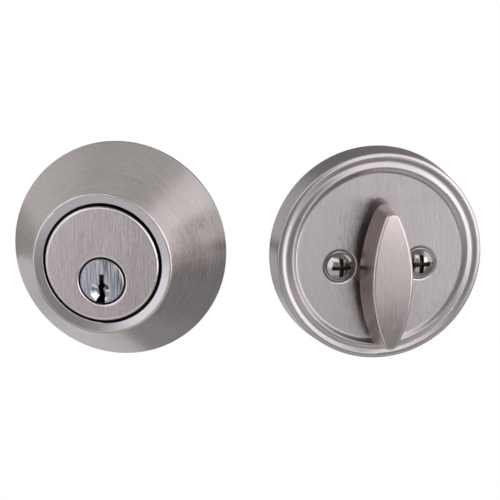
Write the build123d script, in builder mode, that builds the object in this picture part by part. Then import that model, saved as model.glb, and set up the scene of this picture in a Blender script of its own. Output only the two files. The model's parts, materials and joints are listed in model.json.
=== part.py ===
"""Single-cylinder deadbolt door lock.

Three units of one lock: the outside half with its key cylinder, the inside half with its thumbturn,
and the latch that the tailpiece works.  The outside half faces -Y and lies with its tailpiece axis on
the Y axis and the door's outside face at Y = 0.  The inside half stands to its right, turned a little
to face away from it.  The latch lies to its left, in line with the bore that takes it in a door's edge.
Heights are measured from the door's face outwards.
"""

import math
import os

from build123d import *

# Door and layout
door_thickness = 45.0
backset = 60.0
inside_right = 73.4
inside_back = 10.0
inside_turn = 21.4
latch_left = 65.0

# Clearances
running_clearance = 0.06
seat_clearance = 0.15
open_clearance = 0.3

# Trim shared by both halves
trim_offset = 5.0
screw_spacing = 23.8
screw_rise = 2.5
screw_radius = 2.4
thread_radius = 2.1

# Collar
collar_base_radius = 31.8
collar_front_radius = 20.1
collar_height = 21.25
collar_wall = 2.2
collar_foot = 0.9
collar_bore_radius = 17.2
collar_ring_dish = 0.72
collar_edge_radius = 0.7
seat_height = 17.9
seat_thickness = 2.5

# Guard ring inside the collar
guard_flange_thickness = 2.0
guard_sleeve_thickness = 1.8
guard_spigot_radius = 26.6
guard_spigot_length = 6.0
guard_spigot_wall = 2.5

# Key cylinder
face_proud = 0.1
head_radius = 16.6
head_edge_radius = 0.9
barrel_radius = 14.2
barrel_rear = 6.6
ear_radius = 3.6
plug_radius = 6.35
plug_edge_chamfer = 0.25
plug_rim_gap = 0.35
plug_rim_depth = 1.2
plug_rim_radius = 0.8
plug_boss_radius = 5.4
plug_boss_length = 3.7

# Keyway, measured from the plug's centre
keyway_right_side = [(0.66, 2.0), (0.66, -0.75), (0.95, -1.5), (0.2, -2.3), (0.9, -4.2), (0.85, -6.4)]
keyway_left_side = [(-1.7, -6.4), (-1.6, -5.3), (-0.8, -4.2), (-1.3, -1.6), (-0.66, -0.75), (-0.66, 2.0)]
keyway_depth = 26.0
keyway_funnel_radius = 2.85
keyway_funnel_depth = 0.9
keyway_funnel_floor = 1.3
keyway_funnel_left = 0.45
keyway_funnel_drop = 3.0

# Pins
pin_count = 5
pin_pitch = 3.97
pin_first = 5.5
pin_radius = 1.42
pin_tip_chamfer = 0.55
pin_bottoms = (-1.3, -0.4, 1.1, 0.1, -0.8)
chamber_floor = -1.4
driver_length = 4.6
spring_radius = 1.05
spring_wire_radius = 0.17
spring_pitch = 1.05
cover_level = 17.6
cover_width = 4.4
cover_thickness = 1.2
cover_rear_margin = 4.7

# Plug cap and tailpiece
cap_radius = 7.8
cap_lip = 1.2
tail_width = 7.0
tail_thickness = 2.3
tail_length = 55.0
tail_head_radius = 5.1
tail_head_thickness = 1.5
tail_core_radius = 3.75
tail_lobe_angle = 80.0
drive_lug_angle = 60.0
drive_lug_gap_angle = 5.0
quarter_turn = 90.0

# Screw posts
post_length = 12.0
post_spigot_radius = 2.7
post_spigot_length = 8.0
post_bore_depth = 10.0

# Rose
rose_base_radius = 30.95
rose_front_radius = 30.15
rose_wall = 1.6
rose_rim_height = 8.25
rose_rim_round = 0.5
rose_plate_height = 8.05
rose_plate_thickness = 1.6
bead_outer_width = 1.15
bead_outer_crest = 0.38
bead_cove_width = 1.45
bead_cove_depth = 0.07
bead_inner_width = 1.55
bead_inner_crest = 0.42
bead_round = 1.0
rose_slope_width = 1.45
rose_slope_round = 1.5
dimple_radius = 4.4
dimple_rim_radius = 5.0
dimple_depth = 0.5
dimple_edge_radius = 0.8

# Backing plate behind the rose
backing_thickness = 1.6
boss_radius = 4.4

# Thumbturn
turn_front_height = 22.4
turn_grip_thickness = 9.1
turn_grip_rise = 0.3
turn_front_length = 38.8
turn_front_width = 11.5
turn_front_tip = 2.0
turn_front_crown = 1.2
turn_draft = 10.0
turn_edge_radius = 0.8
turn_neck_radius = 6.0
turn_shaft_radius = 5.0
turn_socket_depth = 10.0
washer_radius = 6.9
washer_thickness = 0.6
clip_radius = 6.4
clip_thickness = 0.8
clip_groove_depth = 0.7
clip_mouth = 6.0

# Mounting screws
screw_head_radius = 4.15
screw_head_edge = 0.75
screw_head_crown = 2.9
screw_dome_radius = 2.6
screw_dome_height = 2.1
screw_length = 62.0
screw_tip_length = 1.2
recess_width = 1.15
recess_length = 5.3
recess_depth = 1.9

# Latch
bolt_throw = 25.4
bolt_radius = 11.3
bolt_width = 14.0
bolt_length = 35.5
bolt_nose_radius = 1.2
bolt_rear_gap = 1.5
tube_outer_radius = 12.5
tube_wall = 0.8
plate_height = 57.2
plate_width = 25.4
plate_thickness = 1.6
plate_corner_radius = 4.0
plate_screw_spacing = 41.3
plate_screw_radius = 2.3
plate_clearance_radius = 2.6
plate_screw_head_radius = 3.4
case_half_width = 6.0
case_wall = 1.2
case_half_height = 10.8
hub_radius = 5.5
hub_collar = 0.6
fork_half_thickness = 2.5
fork_prong = 1.7
fork_reach = 18.6
link_pin_radius = 1.5
link_thickness = 1.7
link_half_height = 2.6
link_overlap = 12.0
roller_radius = 2.5
roller_length = 26.0
roller_drop = 4.0

os.makedirs("parts", exist_ok=True)

# Frames: local X to the right, local Y up, local Z out of the door
turn_radians = math.radians(inside_turn)
door_middle = door_thickness / 2
outside = Plane(origin=(0, 0, 0), x_dir=(1, 0, 0), z_dir=(0, -1, 0))
inside = Plane(
    origin=(inside_right, inside_back, 0),
    x_dir=(math.cos(turn_radians), math.sin(turn_radians), 0),
    z_dir=(math.sin(turn_radians), -math.cos(turn_radians), 0),
)
latch = Plane(origin=(-latch_left, door_middle, 0), x_dir=(1, 0, 0), z_dir=(0, -1, 0))

# Levels worked out from the sizes above
face_height = collar_height + face_proud
cone_slope = (collar_base_radius - collar_front_radius) / (collar_height - collar_foot)
collar_radial_wall = collar_wall * math.hypot(1, cone_slope)
seat_bottom = seat_height - seat_thickness
seat_bore_radius = barrel_radius + seat_clearance
ear_reach = math.hypot(screw_spacing / 2, trim_offset - screw_rise) + ear_radius
plug_bore_radius = plug_radius + running_clearance
chamber_radius = pin_radius + running_clearance
plug_rear = -barrel_rear - seat_clearance
boss_rear = plug_rear - plug_boss_length
head_front = boss_rear - seat_clearance
head_rear = head_front - tail_head_thickness
cap_lip_front = head_rear - seat_clearance
cover_end = cover_rear_margin - barrel_rear
pin_heights = [face_height - pin_first - pin_pitch * i for i in range(pin_count)]
screw_places = [(-screw_spacing / 2, screw_rise), (screw_spacing / 2, screw_rise)]
rose_plate_back = rose_plate_height - rose_plate_thickness
shaft_hole_radius = turn_shaft_radius + running_clearance
turn_back_height = turn_front_height - turn_grip_thickness
crank_height = bolt_throw / 2
bolt_rear = -backset + bolt_length
plate_back = -backset + 2 * plate_thickness
case_front = bolt_rear + bolt_rear_gap
tube_inner_radius = tube_outer_radius - tube_wall


def profile_plane(face, up):
    """Plane for a turned profile: local X is the radius, local Y the height out of the door."""
    return Plane(origin=face.from_local_coords((0, up, 0)), x_dir=face.x_dir, z_dir=-face.y_dir)


def turning_axis(face, right, up):
    """Axis out of the door through a point of the face."""
    return Axis(face.from_local_coords((right, up, 0)), face.z_dir)


def corner(sketch, right, up):
    """The corner of a sketch nearest to a point."""
    return sketch.vertices().sort_by_distance((right, up, 0))[0]


def latch_section(along):
    """Cross-section of the latch at a distance from the hub: local X is -Y, local Y is up."""
    return Plane(origin=(along - latch_left, door_middle, trim_offset), x_dir=(0, -1, 0), z_dir=(-1, 0, 0))


def sector_points(radius, middle, width):
    """Start, middle and end of an arc given by its middle angle and its width in degrees."""
    angles = (middle - width / 2, middle, middle + width / 2)
    return [(radius * math.cos(math.radians(a)), radius * math.sin(math.radians(a))) for a in angles]


def lens_arcs(length, width, tip):
    """Outline of a pointed oval: two wide arcs and two tip arcs that meet them smoothly."""
    rise = length / 2 - tip
    run = width / 2 - tip
    centre = (rise**2 - run**2) / (2 * run)
    across = tip * centre / (centre + run)
    along = rise + tip * rise / (centre + run)
    ThreePointArc((across, -along), (width / 2, 0), (across, along))
    ThreePointArc((across, along), (0, length / 2), (-across, along))
    ThreePointArc((-across, along), (-width / 2, 0), (-across, -along))
    ThreePointArc((-across, -along), (0, -length / 2), (across, -along))


# Collar: a tapered shell with a front ring and an inner seat for the cylinder's head
with BuildPart() as collar:
    collar_inner_seat = collar_base_radius - cone_slope * (seat_bottom - collar_foot) - collar_radial_wall
    with BuildSketch(profile_plane(outside, trim_offset)) as collar_profile:
        with BuildLine():
            Polyline(
                (collar_base_radius - collar_radial_wall, 0),
                (collar_base_radius, 0),
                (collar_base_radius, collar_foot),
                (collar_front_radius, collar_height),
                (collar_bore_radius, collar_height - collar_ring_dish),
                (collar_bore_radius, seat_height),
                (seat_bore_radius, seat_height),
                (seat_bore_radius, seat_bottom),
                (collar_inner_seat, seat_bottom),
                close=True,
            )
        make_face()
        fillet(corner(collar_profile, collar_front_radius, collar_height), collar_edge_radius)
        fillet(corner(collar_profile, collar_base_radius, collar_foot), collar_edge_radius)
        ring_level = collar_height - collar_ring_dish
        fillet(corner(collar_profile, collar_bore_radius, ring_level), collar_edge_radius / 2)
    revolve(axis=turning_axis(outside, 0, trim_offset))
    with BuildSketch(outside.offset(seat_height)):
        with Locations(*screw_places):
            Circle(ear_radius + open_clearance)
    extrude(amount=-seat_thickness, mode=Mode.SUBTRACT)
collar.part.label = "collar"
export_step(collar.part, "parts/collar.step")

# Guard ring: flange against the door, spigot in the door's bore, sleeve up to the collar's seat
with BuildPart() as guard_ring:
    guard_inner = ear_reach + open_clearance
    guard_outer = guard_inner + guard_sleeve_thickness
    flange_slack = cone_slope * guard_flange_thickness + open_clearance
    guard_flange_radius = collar_base_radius - collar_radial_wall - flange_slack
    with BuildSketch(profile_plane(outside, trim_offset)):
        with BuildLine():
            Polyline(
                (guard_inner, 0),
                (guard_spigot_radius - guard_spigot_wall, 0),
                (guard_spigot_radius - guard_spigot_wall, -guard_spigot_length),
                (guard_spigot_radius, -guard_spigot_length),
                (guard_spigot_radius, 0),
                (guard_flange_radius, 0),
                (guard_flange_radius, guard_flange_thickness),
                (guard_outer, guard_flange_thickness),
                (guard_outer, seat_bottom),
                (guard_inner, seat_bottom),
                close=True,
            )
        make_face()
    revolve(axis=turning_axis(outside, 0, trim_offset))
guard_ring.part.label = "guard_ring"
export_step(guard_ring.part, "parts/guard_ring.step")

# Cylinder body: face disc, eccentric barrel with two screw ears, plug bore with a rounded rim, pin chambers
with BuildPart() as cylinder_body:
    with BuildSketch(profile_plane(outside, trim_offset)) as body_profile:
        with BuildLine():
            Polyline(
                (0, -barrel_rear),
                (barrel_radius, -barrel_rear),
                (barrel_radius, seat_height),
                (head_radius, seat_height),
                (head_radius, face_height),
                (0, face_height),
                close=True,
            )
        make_face()
        fillet(corner(body_profile, head_radius, face_height), head_edge_radius)
    revolve(axis=turning_axis(outside, 0, trim_offset))
    with BuildSketch(outside.offset(-barrel_rear)):
        with Locations(*screw_places):
            Circle(ear_radius)
    extrude(amount=barrel_rear + seat_height)
    rim_gap_radius = plug_radius + plug_rim_gap
    with BuildSketch(profile_plane(outside, 0)):
        with BuildLine():
            Polyline(
                (rim_gap_radius + plug_rim_radius, face_height),
                (0, face_height),
                (0, -barrel_rear),
                (plug_bore_radius, -barrel_rear),
                (plug_bore_radius, face_height - plug_rim_depth),
                (rim_gap_radius, face_height - plug_rim_depth),
                (rim_gap_radius, face_height - plug_rim_radius),
            )
            RadiusArc(
                (rim_gap_radius, face_height - plug_rim_radius),
                (rim_gap_radius + plug_rim_radius, face_height),
                plug_rim_radius,
            )
        make_face()
    revolve(axis=turning_axis(outside, 0, 0), mode=Mode.SUBTRACT)
    with BuildSketch(Plane.XY):
        with Locations(*[(0, -height) for height in pin_heights]):
            Circle(chamber_radius)
    extrude(amount=cover_level, mode=Mode.SUBTRACT)
    with BuildSketch(Plane.XY.offset(cover_level)):
        with Locations((0, -(cover_end + seat_height) / 2)):
            Rectangle(cover_width, seat_height - cover_end)
    extrude(amount=barrel_radius, mode=Mode.SUBTRACT)
    with BuildSketch(outside.offset(-barrel_rear)):
        with Locations(*screw_places):
            Circle(post_spigot_radius + running_clearance)
    extrude(amount=post_spigot_length + open_clearance, mode=Mode.SUBTRACT)
cylinder_body.part.label = "cylinder_body"
export_step(cylinder_body.part, "parts/cylinder_body.step")

# Plug: turned core with the keyway, five pin chambers, a rear boss and a drive lug
with BuildPart() as plug:
    with BuildSketch(profile_plane(outside, 0)):
        with BuildLine():
            Polyline(
                (0, boss_rear),
                (plug_boss_radius, boss_rear),
                (plug_boss_radius, plug_rear),
                (plug_radius, plug_rear),
                (plug_radius, face_height - plug_edge_chamfer),
                (plug_radius - plug_edge_chamfer, face_height),
                (0, face_height),
                close=True,
            )
        make_face()
    revolve(axis=turning_axis(outside, 0, 0))
    with BuildSketch(outside.offset(face_height)):
        with BuildLine():
            Polyline(*keyway_right_side, *keyway_left_side, close=True)
        make_face()
    extrude(amount=-keyway_depth, mode=Mode.SUBTRACT)
    funnel = turning_axis(outside, -keyway_funnel_left, -keyway_funnel_drop)
    funnel_top = Plane(origin=funnel.position, x_dir=outside.x_dir, z_dir=-outside.y_dir)
    with BuildSketch(funnel_top):
        with BuildLine():
            Polyline(
                (0, face_height - keyway_funnel_depth),
                (keyway_funnel_floor, face_height - keyway_funnel_depth),
                (keyway_funnel_radius, face_height),
                (0, face_height),
                close=True,
            )
        make_face()
    revolve(axis=funnel, mode=Mode.SUBTRACT)
    with BuildSketch(Plane.XY.offset(chamber_floor)):
        with Locations(*[(0, -height) for height in pin_heights]):
            Circle(chamber_radius)
    extrude(amount=plug_radius - chamber_floor, mode=Mode.SUBTRACT)
    lug_middle = 90 - tail_lobe_angle / 2 - drive_lug_angle / 2 - drive_lug_gap_angle
    lug_outer = sector_points(tail_head_radius, lug_middle, drive_lug_angle)
    lug_inner = sector_points(tail_core_radius + open_clearance, lug_middle, drive_lug_angle)
    with BuildSketch(outside.offset(boss_rear)):
        with BuildLine():
            ThreePointArc(*lug_outer)
            Line(lug_outer[2], lug_inner[2])
            ThreePointArc(*lug_inner)
            Line(lug_inner[0], lug_outer[0])
        make_face()
    extrude(amount=head_rear - boss_rear)
plug.part.label = "plug"
export_step(plug.part, "parts/plug.step")

# Key pins: their flat tops stand at the plug's surface, as a fitting key holds them
key_pin_top = math.sqrt(plug_radius**2 - pin_radius**2)
with BuildPart() as key_pins:
    for height, bottom in zip(pin_heights, pin_bottoms):
        with BuildSketch(Plane(origin=(0, -height, 0), x_dir=(1, 0, 0), z_dir=(0, -1, 0))):
            with BuildLine():
                Polyline(
                    (0, bottom),
                    (pin_radius - pin_tip_chamfer, bottom),
                    (pin_radius, bottom + pin_tip_chamfer),
                    (pin_radius, key_pin_top),
                    (0, key_pin_top),
                    close=True,
                )
            make_face()
        revolve(axis=Axis((0, -height, 0), (0, 0, 1)))
key_pins.part.label = "key_pins"
export_step(key_pins.part, "parts/key_pins.step")

# Driver pins: just above the plug, in the body's chambers
driver_bottom = plug_bore_radius
driver_top = driver_bottom + driver_length
with BuildPart() as driver_pins:
    with BuildSketch(Plane.XY.offset(driver_bottom)):
        with Locations(*[(0, -height) for height in pin_heights]):
            Circle(pin_radius)
    extrude(amount=driver_length)
driver_pins.part.label = "driver_pins"
export_step(driver_pins.part, "parts/driver_pins.step")

# Pin springs: one open coil above each driver pin, up to the cover
spring_bottom = driver_top + spring_wire_radius + running_clearance
spring_height = cover_level - spring_bottom - spring_wire_radius - running_clearance
with BuildPart() as pin_springs:
    for height in pin_heights:
        with BuildLine(Plane(origin=(0, -height, spring_bottom))) as coil:
            Helix(pitch=spring_pitch, height=spring_height, radius=spring_radius)
        with BuildSketch(Plane(origin=coil.line @ 0, z_dir=coil.line % 0)):
            Circle(spring_wire_radius)
        sweep(path=coil.line)
pin_springs.part.label = "pin_springs"
export_step(pin_springs.part, "parts/pin_springs.step")

# Pin cover: the strip that closes the pin chambers
with BuildPart() as pin_cover:
    with BuildSketch(Plane.XY.offset(cover_level)):
        with Locations((0, -(cover_end + seat_height) / 2)):
            Rectangle(cover_width - 2 * running_clearance, seat_height - cover_end - 2 * running_clearance)
    extrude(amount=cover_thickness)
pin_cover.part.label = "pin_cover"
export_step(pin_cover.part, "parts/pin_cover.step")

# Plug cap: screwed on the plug's boss, it keeps the plug in the body and the tailpiece in the plug
with BuildPart() as plug_cap:
    with BuildSketch(profile_plane(outside, 0)) as cap_profile:
        with BuildLine():
            Polyline(
                (plug_boss_radius, plug_rear),
                (cap_radius, plug_rear),
                (cap_radius, cap_lip_front - cap_lip),
                (tail_core_radius + open_clearance, cap_lip_front - cap_lip),
                (tail_core_radius + open_clearance, cap_lip_front),
                (plug_boss_radius, cap_lip_front),
                close=True,
            )
        make_face()
        fillet(corner(cap_profile, cap_radius, cap_lip_front - cap_lip), cap_lip / 2)
    revolve(axis=turning_axis(outside, 0, 0))
plug_cap.part.label = "plug_cap"
export_step(plug_cap.part, "parts/plug_cap.step")

# Tailpiece: a flat bar with a round head whose lobe meets the plug's drive lug
with BuildPart() as tailpiece:
    lobe = sector_points(tail_head_radius, 90, tail_lobe_angle)
    with BuildSketch(outside.offset(head_rear)):
        Circle(tail_core_radius)
        with BuildLine():
            ThreePointArc(*lobe)
            Line(lobe[2], (0, 0))
            Line((0, 0), lobe[0])
        make_face()
    extrude(amount=tail_head_thickness)
    with BuildSketch(outside.offset(head_rear)):
        Rectangle(tail_thickness, tail_width)
    extrude(amount=-tail_length)
    tail_tip = tailpiece.faces().sort_by(Axis.Y)[-1]
    chamfer(tail_tip.edges(), tail_thickness / 4)
tailpiece.part.label = "tailpiece"
export_step(tailpiece.part, "parts/tailpiece.step")

# Screw posts: threaded studs in the body's ears that take the mounting screws
with BuildPart() as screw_posts:
    with BuildSketch(outside.offset(-barrel_rear)):
        with Locations(*screw_places):
            Circle(ear_radius)
    extrude(amount=-post_length)
    with BuildSketch(outside.offset(-barrel_rear)):
        with Locations(*screw_places):
            Circle(post_spigot_radius)
    extrude(amount=post_spigot_length)
    with BuildSketch(outside.offset(-barrel_rear - post_length)):
        with Locations(*screw_places):
            Circle(thread_radius)
    extrude(amount=post_bore_depth, mode=Mode.SUBTRACT)
screw_posts.part.label = "screw_posts"
export_step(screw_posts.part, "parts/screw_posts.step")

# Rose: a cast cap with a drafted wall, a double-bead rim and a sunk plate
with BuildPart() as rose:
    outer_crest_radius = rose_front_radius - bead_outer_width
    cove_radius = outer_crest_radius - bead_cove_width
    inner_crest_radius = cove_radius - bead_inner_width
    slope_end = inner_crest_radius - rose_slope_width
    bead_corners = [
        (outer_crest_radius, rose_rim_height + bead_outer_crest),
        (cove_radius, rose_rim_height - bead_cove_depth),
        (inner_crest_radius, rose_rim_height + bead_inner_crest),
    ]
    rose_cavity_radius = rose_base_radius - rose_wall
    rose_cavity_slope = (rose_base_radius - rose_front_radius) / rose_plate_back
    with BuildSketch(profile_plane(inside, trim_offset)) as rose_profile:
        with BuildLine():
            Polyline(
                (0, rose_plate_height),
                (0, rose_plate_back),
                (rose_front_radius - rose_wall, rose_plate_back),
                (rose_cavity_radius, 0),
                (rose_base_radius, 0),
                (rose_front_radius, rose_rim_height),
                *bead_corners,
                (slope_end, rose_plate_height),
                close=True,
            )
        make_face()
        fillet(corner(rose_profile, rose_front_radius, rose_rim_height), rose_rim_round)
        for bead_corner in bead_corners:
            fillet(corner(rose_profile, *bead_corner), bead_round)
        fillet(corner(rose_profile, slope_end, rose_plate_height), rose_slope_round)
    revolve(axis=turning_axis(inside, 0, trim_offset))
    with BuildSketch(inside.offset(backing_thickness)):
        with Locations(*screw_places):
            Circle(boss_radius)
    extrude(amount=rose_plate_back - backing_thickness)
    dimple_floor = inside.offset(rose_plate_height - dimple_depth).location
    with Locations(*[dimple_floor * Pos(*place) for place in screw_places]):
        Cone(
            dimple_radius,
            dimple_rim_radius,
            dimple_depth,
            align=(Align.CENTER, Align.CENTER, Align.MIN),
            mode=Mode.SUBTRACT,
        )
    with BuildSketch(inside):
        Circle(shaft_hole_radius)
        with Locations(*screw_places):
            Circle(screw_radius + open_clearance)
    extrude(amount=rose_plate_height, mode=Mode.SUBTRACT)
    dimple_rims = [
        edge
        for edge in rose.edges().filter_by(GeomType.CIRCLE)
        if abs(edge.radius - dimple_rim_radius) < running_clearance
        and abs(inside.to_local_coords(edge.arc_center).Z - rose_plate_height) < running_clearance
    ]
    fillet(dimple_rims, dimple_edge_radius)
rose.part.label = "rose"
export_step(rose.part, "parts/rose.step")

# Backing plate: closes the rose at the door and steadies the thumbturn's shaft
with BuildPart() as backing_plate:
    backing_taper = max(0, rose_cavity_slope * backing_thickness)
    with BuildSketch(inside):
        with Locations((0, trim_offset)):
            Circle(rose_cavity_radius - backing_taper - open_clearance)
        Circle(shaft_hole_radius, mode=Mode.SUBTRACT)
        with Locations(*screw_places):
            Circle(screw_radius + open_clearance, mode=Mode.SUBTRACT)
    extrude(amount=backing_thickness)
backing_plate.part.label = "backing_plate"
export_step(backing_plate.part, "parts/backing_plate.step")

# Thumbturn: a drafted lens-shaped grip with a crowned front, on a round neck and shaft with a socket
washer_front = rose_plate_back
clip_front = washer_front - washer_thickness - seat_clearance
clip_back = clip_front - clip_thickness
with BuildPart() as thumbturn:
    turn_spread = turn_grip_thickness * math.tan(math.radians(turn_draft))
    grip_middle = inside.from_local_coords((0, turn_grip_rise, turn_back_height))
    with BuildSketch(Plane(origin=grip_middle, x_dir=inside.x_dir, z_dir=inside.z_dir)):
        with BuildLine():
            lens_arcs(
                turn_front_length + 2 * turn_spread,
                turn_front_width + 2 * turn_spread,
                turn_front_tip + turn_spread,
            )
        make_face()
    extrude(amount=turn_grip_thickness, taper=turn_draft)
    crown_end = turn_front_length / 2 + turn_spread
    crown_low = turn_grip_thickness - turn_front_crown * (crown_end / (turn_front_length / 2)) ** 2
    with BuildSketch(Plane(origin=grip_middle, x_dir=inside.y_dir, z_dir=inside.x_dir)):
        with BuildLine():
            Polyline((crown_end, crown_low), (crown_end, 0), (-crown_end, 0), (-crown_end, crown_low))
            ThreePointArc((-crown_end, crown_low), (0, turn_grip_thickness), (crown_end, crown_low))
        make_face()
    extrude(amount=turn_front_width, both=True, mode=Mode.INTERSECT)
    grip_front = thumbturn.faces().sort_by(Axis((0, 0, 0), inside.z_dir))[-1]
    fillet(grip_front.edges(), turn_edge_radius)
    with BuildSketch(inside.offset(rose_plate_height + seat_clearance)):
        Circle(turn_neck_radius)
    extrude(amount=turn_back_height - rose_plate_height - seat_clearance)
    with BuildSketch(inside):
        Circle(turn_shaft_radius)
    extrude(amount=rose_plate_height + seat_clearance)
    with BuildSketch(inside.offset(clip_back - seat_clearance / 2)):
        Circle(turn_shaft_radius)
        Circle(turn_shaft_radius - clip_groove_depth, mode=Mode.SUBTRACT)
    extrude(amount=clip_thickness + seat_clearance, mode=Mode.SUBTRACT)
    with BuildSketch(inside):
        Rectangle(tail_thickness + 2 * seat_clearance, tail_width + 2 * seat_clearance)
    extrude(amount=turn_socket_depth, mode=Mode.SUBTRACT)
thumbturn.part.label = "thumbturn"
export_step(thumbturn.part, "parts/thumbturn.step")

# Turn washer: between the rose's plate and the clip
with BuildPart() as turn_washer:
    with BuildSketch(inside.offset(washer_front)):
        Circle(washer_radius)
        Circle(shaft_hole_radius, mode=Mode.SUBTRACT)
    extrude(amount=-washer_thickness)
turn_washer.part.label = "turn_washer"
export_step(turn_washer.part, "parts/turn_washer.step")

# Turn clip: open snap ring in the shaft's groove
with BuildPart() as turn_clip:
    with BuildSketch(inside.offset(clip_back)):
        Circle(clip_radius)
        Circle(turn_shaft_radius - clip_groove_depth, mode=Mode.SUBTRACT)
        with Locations((0, -clip_radius)):
            Rectangle(clip_mouth, 2 * clip_radius, mode=Mode.SUBTRACT)
    extrude(amount=clip_thickness)
turn_clip.part.label = "turn_clip"
export_step(turn_clip.part, "parts/turn_clip.step")

# Mounting screws: domed cross-recess heads in the rose's dimples
head_seat = rose_plate_height - dimple_depth
with BuildPart() as mounting_screws:
    for right, up in screw_places:
        screw_axis = turning_axis(inside, right, up)
        with BuildSketch(Plane(origin=screw_axis.position, x_dir=inside.x_dir, z_dir=-inside.y_dir)):
            with BuildLine():
                Polyline(
                    (0, head_seat + screw_head_crown),
                    (0, head_seat - screw_length),
                    (thread_radius, head_seat - screw_length),
                    (screw_radius, head_seat - screw_length + screw_tip_length),
                    (screw_radius, head_seat),
                    (screw_head_radius, head_seat),
                    (screw_head_radius, head_seat + screw_head_edge),
                )
                ThreePointArc(
                    (screw_head_radius, head_seat + screw_head_edge),
                    (screw_dome_radius, head_seat + screw_dome_height),
                    (0, head_seat + screw_head_crown),
                )
            make_face()
        revolve(axis=screw_axis)
    with BuildSketch(inside.offset(head_seat + screw_head_crown - recess_depth)):
        with Locations(*screw_places):
            Rectangle(recess_width, recess_length)
            Rectangle(recess_length, recess_width)
    extrude(amount=2 * recess_depth, mode=Mode.SUBTRACT)
mounting_screws.part.label = "mounting_screws"
export_step(mounting_screws.part, "parts/mounting_screws.step")

# Bolt: a flat-sided round bar with slots for the links and a bore for the hard roller
link_inner = fork_half_thickness + open_clearance
link_outer = link_inner + link_thickness
with BuildPart() as bolt:
    with BuildSketch(latch_section(bolt_rear)):
        Circle(bolt_radius)
        Rectangle(bolt_width, 2 * bolt_radius, mode=Mode.INTERSECT)
    extrude(amount=bolt_length)
    bolt_nose = bolt.faces().sort_by(Axis.X)[0]
    fillet(bolt_nose.edges(), bolt_nose_radius)
    with BuildSketch(latch_section(bolt_rear)):
        with Locations((link_inner + link_thickness / 2, crank_height - trim_offset)):
            Rectangle(link_thickness, 2 * link_half_height)
        with Locations((-link_inner - link_thickness / 2, crank_height - trim_offset)):
            Rectangle(link_thickness, 2 * link_half_height)
    extrude(amount=link_overlap, mode=Mode.SUBTRACT)
    with BuildSketch(latch_section(bolt_rear)):
        with Locations((0, -roller_drop)):
            Circle(roller_radius + running_clearance)
    extrude(amount=roller_length + open_clearance, mode=Mode.SUBTRACT)
    with BuildSketch(latch.offset(-link_outer)):
        with Locations((bolt_rear - link_overlap / 2, crank_height)):
            Circle(link_pin_radius)
    extrude(amount=2 * link_outer, mode=Mode.SUBTRACT)
bolt.part.label = "bolt"
export_step(bolt.part, "parts/bolt.step")

# Bolt roller: hardened pin that spins under a saw
with BuildPart() as bolt_roller:
    with BuildSketch(latch_section(bolt_rear)):
        with Locations((0, -roller_drop)):
            Circle(roller_radius)
    extrude(amount=roller_length)
bolt_roller.part.label = "bolt_roller"
export_step(bolt_roller.part, "parts/bolt_roller.step")

# Bolt links: two straps from the bolt to the drive pin
link_front = bolt_rear - link_overlap
link_rear = crank_height + link_half_height
link_pin_places = [(bolt_rear - link_overlap / 2, crank_height), (crank_height, crank_height)]
with BuildPart() as bolt_links:
    for side in (-link_outer, link_inner):
        with BuildSketch(latch.offset(side)):
            with Locations(((link_front + link_rear) / 2, crank_height)):
                Rectangle(link_rear - link_front, 2 * link_half_height)
            with Locations(*link_pin_places):
                Circle(link_pin_radius, mode=Mode.SUBTRACT)
        extrude(amount=link_thickness)
bolt_links.part.label = "bolt_links"
export_step(bolt_links.part, "parts/bolt_links.step")

# Link pins: the rivet in the bolt and the drive pin in the cam's fork
with BuildPart() as link_pins:
    with BuildSketch(latch.offset(-link_outer)):
        with Locations(*link_pin_places):
            Circle(link_pin_radius)
    extrude(amount=2 * link_outer)
link_pins.part.label = "link_pins"
export_step(link_pins.part, "parts/link_pins.step")

# Cam hub: turned by the tailpiece, its fork carries the drive pin from one side to the other.
# The pin runs straight while the fork turns, so it wanders sideways in the fork at mid-throw.
half_swing = math.radians(quarter_turn / 2)
swing_steps = 20
fork_wander = max(
    crank_height * (share * math.cos(share * half_swing) - math.sin(share * half_swing))
    for share in [step / swing_steps for step in range(swing_steps + 1)]
)
fork_slot = link_pin_radius + fork_wander + seat_clearance
fork_half_width = fork_slot + fork_prong
fork_root = crank_height - link_pin_radius - open_clearance
hub_half_length = case_half_width + hub_collar
with BuildPart() as cam_hub:
    with BuildSketch(latch.offset(-hub_half_length)):
        Circle(hub_radius)
    extrude(amount=2 * hub_half_length)
    fork_across = (math.cos(half_swing), 0, -math.sin(half_swing))
    fork_back = latch.offset(-fork_half_thickness).origin
    with BuildSketch(Plane(origin=fork_back, x_dir=fork_across, z_dir=latch.z_dir)):
        with Locations((0, fork_reach / 2)):
            Rectangle(2 * fork_half_width, fork_reach)
        with Locations((0, (fork_root + 2 * fork_reach) / 2)):
            Rectangle(2 * fork_slot, 2 * fork_reach - fork_root, mode=Mode.SUBTRACT)
    extrude(amount=2 * fork_half_thickness)
    with BuildSketch(latch.offset(-hub_half_length)):
        Rectangle(tail_thickness + 2 * seat_clearance, tail_width + 2 * seat_clearance)
    extrude(amount=2 * hub_half_length, mode=Mode.SUBTRACT)
cam_hub.part.label = "cam_hub"
export_step(cam_hub.part, "parts/cam_hub.step")

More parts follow.
